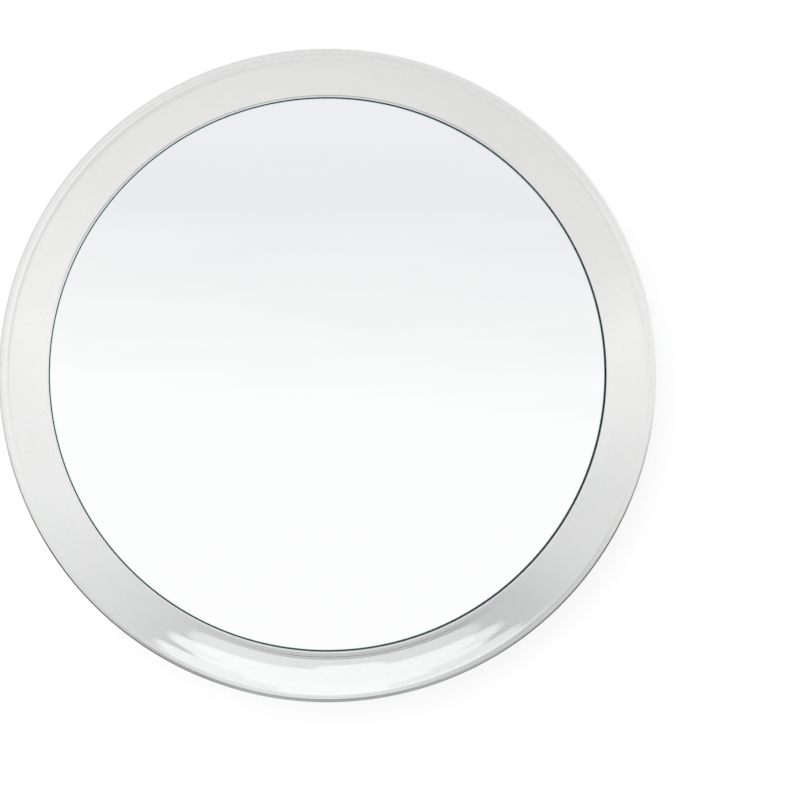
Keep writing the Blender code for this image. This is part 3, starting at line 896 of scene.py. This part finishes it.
def make_shell():
    shell = turned("back_shell", shell_profile(), RING_STEPS, closed=False)
    below = FLOOR_BACK - OVERRUN
    above = FLOOR_FRONT + OVERRUN
    bore = SCREW_SHANK_RADIUS + CLEARANCE
    counterbore = SCREW_HEAD_RADIUS + CLEARANCE
    pillars = rods("pillars", PILLAR_RADIUS, FLOOR_BACK + FLOOR_THICKNESS / 2, PILLAR_TOP)
    counterbores = rods("counterbores", counterbore, below, SCREW_HEAD_FRONT + CLEARANCE)
    holes = rods("holes", bore, below, PILLAR_TOP + OVERRUN)
    outline = keyhole_outline()
    keyholes = [prism("slot", outline, below, above, cup_place(angle)) for angle in CUPS.values()]
    combine(shell, pillars, "UNION")
    combine(shell, counterbores, "DIFFERENCE")
    combine(shell, holes, "DIFFERENCE")
    combine(shell, join("keyholes", keyholes), "DIFFERENCE")
    settle(shell, [shell_material()], ROOT, "rear_shell")


# The screws.
def screw_profile():
    """The shank, in short steps that the thread needs, and the head."""
    profile = [(0.0, SCREW_TIP), (SCREW_SHANK_RADIUS / 2, SCREW_TIP)]
    for step in range(SHANK_STEPS + 1):
        height = SCREW_TIP + (SCREW_HEAD_FRONT - SCREW_TIP) * step / SHANK_STEPS
        profile.append((SCREW_SHANK_RADIUS, height))
    head = [
        (SCREW_HEAD_RADIUS, SCREW_HEAD_FRONT),
        (SCREW_HEAD_RADIUS, SCREW_HEAD_BACK, SCREW_HEAD_ROUND),
        (0.0, SCREW_HEAD_BACK),
    ]
    return profile + rounded(head, closed=False)


def thread_radius(turn, height):
    share = (height / THREAD_PITCH - turn / math.tau) % 1.0
    return SCREW_SHANK_RADIUS - THREAD_DEPTH * abs(2.0 * share - 1.0)


def cut_thread(screw):
    """Draws the shank's points in to a thread, past a short plain length at the head."""
    for vertex in screw.data.vertices:
        radius = math.hypot(vertex.co.x, vertex.co.z)
        height = -vertex.co.y
        on_shank = abs(radius - SCREW_SHANK_RADIUS) < WELD
        if on_shank and SCREW_HEAD_FRONT + THREAD_PITCH / 2 < height:
            share = thread_radius(math.atan2(vertex.co.z, vertex.co.x), height) / radius
            vertex.co.x *= share
            vertex.co.z *= share


def cut_recess(screw):
    """Cuts the cross in the screw's head, one bar and then the bar across it."""
    half_long = RECESS_LENGTH / 2
    half_wide = RECESS_WIDTH / 2
    floor = SCREW_HEAD_BACK + RECESS_DEPTH
    bar = [(half_long, half_wide), (-half_long, half_wide)]
    bar += [(-half_long, -half_wide), (half_long, -half_wide)]
    crossing = [(z, x) for x, z in bar]
    for outline in (bar, crossing):
        combine(screw, prism("recess", outline, SCREW_HEAD_BACK - OVERRUN, floor), "DIFFERENCE")


def make_screws():
    material = steel_material()
    for index, (x, z) in enumerate(screw_places()):
        screw = turned(f"thread_screw_{index + 1}", screw_profile(), SMALL_STEPS, closed=False)
        cut_thread(screw)
        cut_recess(screw)
        screw.data.transform(Matrix.Rotation(-math.tau * index / SCREW_COUNT, 4, "Y"))
        screw.data.transform(Matrix.Translation((x, 0.0, z)))
        settle(screw, [material], ROOT, f"cover_screw_{index + 1}")


# The suction cups.
def bell_points():
    """The cup's outside, from its shoulder to its thin edge."""
    points = []
    for step in range(1, ARC_STEPS):
        share = step / ARC_STEPS
        radius = CUP_SHOULDER_RADIUS + (CUP_RADIUS - CUP_SHOULDER_RADIUS) * share
        rise = (CUP_SHOULDER_BACK - CUP_EDGE) * (1 - share) ** CUP_BELL_POWER
        points.append((radius, CUP_EDGE + rise))
    return points + [(CUP_RADIUS, CUP_EDGE, CUP_FINE_ROUND)]


def hollow_points():
    """The hollow under the cup, from its sealing ring to its middle."""
    outer = CUP_RADIUS - CUP_SEAL_WIDTH
    points = []
    for step in range(ARC_STEPS):
        angle = math.pi / 2 * step / ARC_STEPS
        points.append((outer * math.cos(angle), CUP_HOLLOW * math.sin(angle) ** 2))
    return points + [(0.0, CUP_HOLLOW)]


def cup_profile():
    head_front = HEAD_BACK + HEAD_THICKNESS
    points = [
        (0.0, head_front),
        (HEAD_RADIUS - HEAD_EDGE, head_front, CUP_ROUND),
        (HEAD_RADIUS, head_front - HEAD_EDGE, CUP_ROUND),
        (HEAD_RADIUS, HEAD_BACK, CUP_FINE_ROUND),
        (NECK_RADIUS, HEAD_BACK, CUP_FINE_ROUND),
        (NECK_RADIUS, CUP_HEIGHT, CUP_FINE_ROUND),
        (CUP_SHOULDER_RADIUS, CUP_HEIGHT, CUP_FINE_ROUND),
        (CUP_SHOULDER_RADIUS, CUP_SHOULDER_BACK, CUP_ROUND),
    ]
    points += bell_points() + [(CUP_RADIUS, 0.0, CUP_FINE_ROUND / 2)] + hollow_points()
    return rounded(points, closed=False)


def make_cups():
    material = vinyl_material()
    tab_outline = circle(TAB_RADIUS, SMALL_STEPS)
    tab_place = (CUP_RADIUS + TAB_REACH, 0.0)
    for label, angle in CUPS.items():
        cup = turned(f"soft_cup_{label}", cup_profile(), CUP_STEPS, closed=False)
        combine(cup, prism("tab", tab_outline, TAB_LIFT, TAB_LIFT + TAB_THICKNESS, tab_place), "UNION")
        x, z = cup_place(angle)
        cup.data.transform(Matrix.Rotation(-math.radians(angle), 4, "Y"))
        cup.data.transform(Matrix.Translation((x, 0.0, z)))
        settle(cup, [material], f"cup_{label}", f"suction_cup_{label}")


# The stage.
def stage_material():
    """White that is mostly clear, so that it shows a faint shadow and the mirror's back gets light."""
    material = bpy.data.materials.new("stage_white")
    material.use_nodes = True
    tree = material.node_tree
    tree.nodes.clear()
    output = node(tree, "ShaderNodeOutputMaterial")
    clear = node(tree, "ShaderNodeBsdfTransparent")
    diffuse = node(tree, "ShaderNodeBsdfDiffuse")
    diffuse.inputs["Color"].default_value = (*STAGE_COLOUR, 1.0)
    front = node(tree, "ShaderNodeMixShader")
    front.inputs["Fac"].default_value = STAGE_COVER
    tree.links.new(clear.outputs[0], front.inputs[1])
    tree.links.new(diffuse.outputs[0], front.inputs[2])
    geometry = node(tree, "ShaderNodeNewGeometry")
    sides = mixed(tree, geometry.outputs["Backfacing"], front.outputs[0], clear.outputs[0])
    tree.links.new(sides, output.inputs["Surface"])
    return material


def make_backdrop(name, size, place, tilt, material):
    bpy.ops.mesh.primitive_plane_add(size=UNIT_SIDE)
    backdrop = bpy.context.object
    backdrop.name = name
    backdrop.scale = (*size, 1.0)
    backdrop.rotation_euler = (tilt, 0.0, 0.0)
    backdrop.location = place
    backdrop.data.materials.append(material)
    backdrop.visible_glossy = False


def make_stage():
    """The wall that the mirror hangs on and a plain pale floor well below it."""
    material = stage_material()
    half = STAGE_SIDE / 2
    wall_size = (STAGE_SIDE, half + FLOOR_DROP)
    wall_place = (0.0, WALL_GAP, (half - FLOOR_DROP) / 2)
    make_backdrop("wall_backdrop", wall_size, wall_place, math.pi / 2, material)
    make_backdrop("floor", (STAGE_SIDE, half), (0.0, -half / 2, -FLOOR_DROP), 0.0, material)


# The world.
def background(tree, colour, strength=1.0):
    """A background whose colour is a socket."""
    made = node(tree, "ShaderNodeBackground")
    made.inputs["Strength"].default_value = strength
    tree.links.new(colour, made.inputs["Color"])
    return made.outputs[0]


def white_background(tree):
    made = node(tree, "ShaderNodeBackground")
    made.inputs["Color"].default_value = (*WHITE, 1.0)
    return made.outputs[0]


def tinted(tree, values):
    """A colour from the sockets of its red, green and blue."""
    made = node(tree, "ShaderNodeCombineColor")
    for value, slot in zip(values, made.inputs):
        tree.links.new(value, slot)
    return made.outputs[0]


def by_roll(stops):
    """Ramp stops over a full turn from stops in degrees, with levels or colours scaled to fit a ramp."""
    scaled = []
    for angle, level in stops:
        colour = level if isinstance(level, tuple) else (level, level, level)
        share = (angle + HALF_TURN) / FULL_TURN
        scaled.append((share, tuple(part / REFLECTED_SCALE for part in colour)))
    return scaled


def zone_view(tree, roll, stops):
    return background(tree, colour_ramp(tree, roll, by_roll(stops)), REFLECTED_SCALE)


def lamp_level(tree, degrees, reach, lamp):
    """The level of one soft-edged rounded lamp."""
    lamp_roll, lamp_reach, half_roll, half_reach, brightness, fall = lamp
    spread = 0.0
    for value, middle, half in ((degrees, lamp_roll, half_roll), (reach, lamp_reach, half_reach)):
        share = maths(tree, "DIVIDE", maths(tree, "SUBTRACT", value, middle), half)
        square = maths(tree, "MULTIPLY", share, share)
        spread = maths(tree, "MULTIPLY_ADD", square, square, spread)
    level = maths(tree, "MULTIPLY_ADD", maths(tree, "SUBTRACT", degrees, lamp_roll), -fall, brightness)
    return maths(tree, "MULTIPLY", share_between(tree, spread, *LAMP_EDGE), level)


def ring_view(tree, roll, degrees, reach):
    """What the bezel's ring reflects: levels by roll, and the lamps overhead."""
    level = maths(tree, "MULTIPLY", colour_ramp(tree, roll, by_roll(RING_REFLECTIONS)), REFLECTED_SCALE)
    beyond = maths(tree, "SUBTRACT", reach, RING_MIDDLE)
    level = maths(tree, "MULTIPLY_ADD", beyond, RING_RISE, level)
    lamps = 0.0
    for lamp in LAMPS:
        lamps = maths(tree, "MAXIMUM", lamp_level(tree, degrees, reach, lamp), lamps)
    parts = [maths(tree, "MAXIMUM", level, maths(tree, "MULTIPLY", lamps, tint)) for tint in LAMP_TINT]
    return background(tree, tinted(tree, parts))


def mirror_view(tree, place, across, up):
    """What the mirror itself shows: pale bands from low to high."""
    mapping = node(tree, "ShaderNodeMapping")
    mapping.inputs["Scale"].default_value = STREAK_SCALE
    tree.links.new(place, mapping.inputs["Vector"])
    streaks = node(tree, "ShaderNodeTexNoise")
    streaks.inputs["Scale"].default_value = 1.0
    streaks.inputs["Detail"].default_value = STREAK_DETAIL
    tree.links.new(mapping.outputs["Vector"], streaks.inputs["Vector"])
    unevenness = maths(tree, "SUBTRACT", streaks.outputs["Fac"], NOISE_MIDDLE)
    slanted = maths(tree, "MULTIPLY_ADD", across, MIRROR_SLANT, up)
    height = maths(tree, "MULTIPLY_ADD", unevenness, STREAK_DEPTH, slanted)
    span = share_between(tree, height, -MIRROR_HALF_SPAN, MIRROR_HALF_SPAN, "LINEAR")
    return background(tree, colour_ramp(tree, span, MIRROR_REFLECTIONS))


def studio(tree, place, across, along, up):
    """What the glossy pieces reflect, with each zone blended into the next."""
    turn = maths(tree, "ARCTAN2", up, across)
    roll = maths(tree, "ADD", maths(tree, "DIVIDE", turn, math.tau), HALF_TURN / FULL_TURN)
    forward = maths(tree, "MULTIPLY", along, -math.cos(CAMERA_ELEVATION))
    ahead = maths(tree, "SUBTRACT", forward, maths(tree, "MULTIPLY", up, math.sin(CAMERA_ELEVATION)))
    reach = maths(tree, "DEGREES", maths(tree, "ARCCOSINE", ahead))
    seen = ring_view(tree, roll, maths(tree, "DEGREES", turn), reach)
    seen = mixed(tree, share_between(tree, reach, *LIP_ZONE), seen, zone_view(tree, roll, LIP_REFLECTIONS))
    front = mirror_view(tree, place, across, up)
    seen = mixed(tree, share_between(tree, reach, *MIRROR_ZONE), seen, front)
    side = zone_view(tree, roll, SIDE_REFLECTIONS)
    seen = mixed(tree, share_between(tree, reach, *SIDE_ZONE), seen, side)
    back = zone_view(tree, roll, BACK_REFLECTIONS)
    return mixed(tree, share_between(tree, reach, *BACK_ZONE), seen, back)


def daylight(tree, up):
    """The even light, whose red, green and blue rise with height."""
    parts = [maths(tree, "MULTIPLY_ADD", up, rise, WORLD_LEVEL) for rise in WORLD_RISE]
    return background(tree, tinted(tree, parts))


def make_world():
    """White to the camera, even to diffuse light, and a studio in what the glossy pieces reflect."""
    world = bpy.data.worlds.new("studio")
    bpy.context.scene.world = world
    world.use_nodes = True
    tree = world.node_tree
    tree.nodes.clear()
    output = node(tree, "ShaderNodeOutputWorld")
    path = node(tree, "ShaderNodeLightPath")
    place = node(tree, "ShaderNodeTexCoord").outputs["Generated"]
    split = node(tree, "ShaderNodeSeparateXYZ")
    tree.links.new(place, split.inputs[0])
    across, along, up = split.outputs
    reflected = maths(tree, "MAXIMUM", path.outputs["Is Glossy Ray"], path.outputs["Is Transmission Ray"])
    seen = mixed(tree, reflected, daylight(tree, up), studio(tree, place, across, along, up))
    seen = mixed(tree, path.outputs["Is Camera Ray"], seen, white_background(tree))
    tree.links.new(seen, output.inputs["Surface"])


# The key light and the camera.
def make_key():
    """A soft lamp that faces the mirror and isn't seen in it."""
    light = bpy.data.lights.new("key", "AREA")
    light.shape = "RECTANGLE"
    light.size = KEY_SIDE
    light.size_y = KEY_SIDE
    light.energy = KEY_POWER
    lamp = bpy.data.objects.new("key", light)
    bpy.context.scene.collection.objects.link(lamp)
    towards = direction(KEY_AZIMUTH, KEY_ELEVATION)
    lamp.location = towards * KEY_DISTANCE
    lamp.rotation_euler = (-towards).to_track_quat("-Z", "Y").to_euler()
    lamp.visible_glossy = False


def make_camera():
    """A long lens a little above the axis, aimed so that the lip lands where the photograph has it."""
    data = bpy.data.cameras.new("camera")
    data.lens = CAMERA_LENS
    data.sensor_width = CAMERA_SENSOR
    camera = bpy.data.objects.new("camera", data)
    bpy.context.scene.collection.objects.link(camera)
    focal_px = IMAGE_SIDE_PX * CAMERA_LENS / CAMERA_SENSOR
    distance = focal_px * OUTER_RADIUS / LIP_RADIUS_PX
    towards = direction(CAMERA_AZIMUTH, CAMERA_ELEVATION)
    lip_centre = Vector((0.0, -LIP_TOP, 0.0))
    camera.location = lip_centre + towards * distance
    right = (-towards).cross(Vector((0.0, 0.0, 1.0))).normalized()
    up = right.cross(-towards)
    half_side = IMAGE_SIDE_PX / 2
    scale = distance / focal_px
    aim = lip_centre + right * (half_side - LIP_CENTRE_PX[0]) * scale
    aim += up * (LIP_CENTRE_PX[1] - half_side) * scale
    camera.rotation_euler = (aim - camera.location).to_track_quat("-Z", "Y").to_euler()
    bpy.context.scene.camera = camera


bpy.context.scene.view_settings.view_transform = "Standard"
make_bezel()
make_glass()
make_film()
make_tape()
make_pad()
make_shell()
make_screws()
make_cups()
make_stage()
make_world()
make_key()
make_camera()
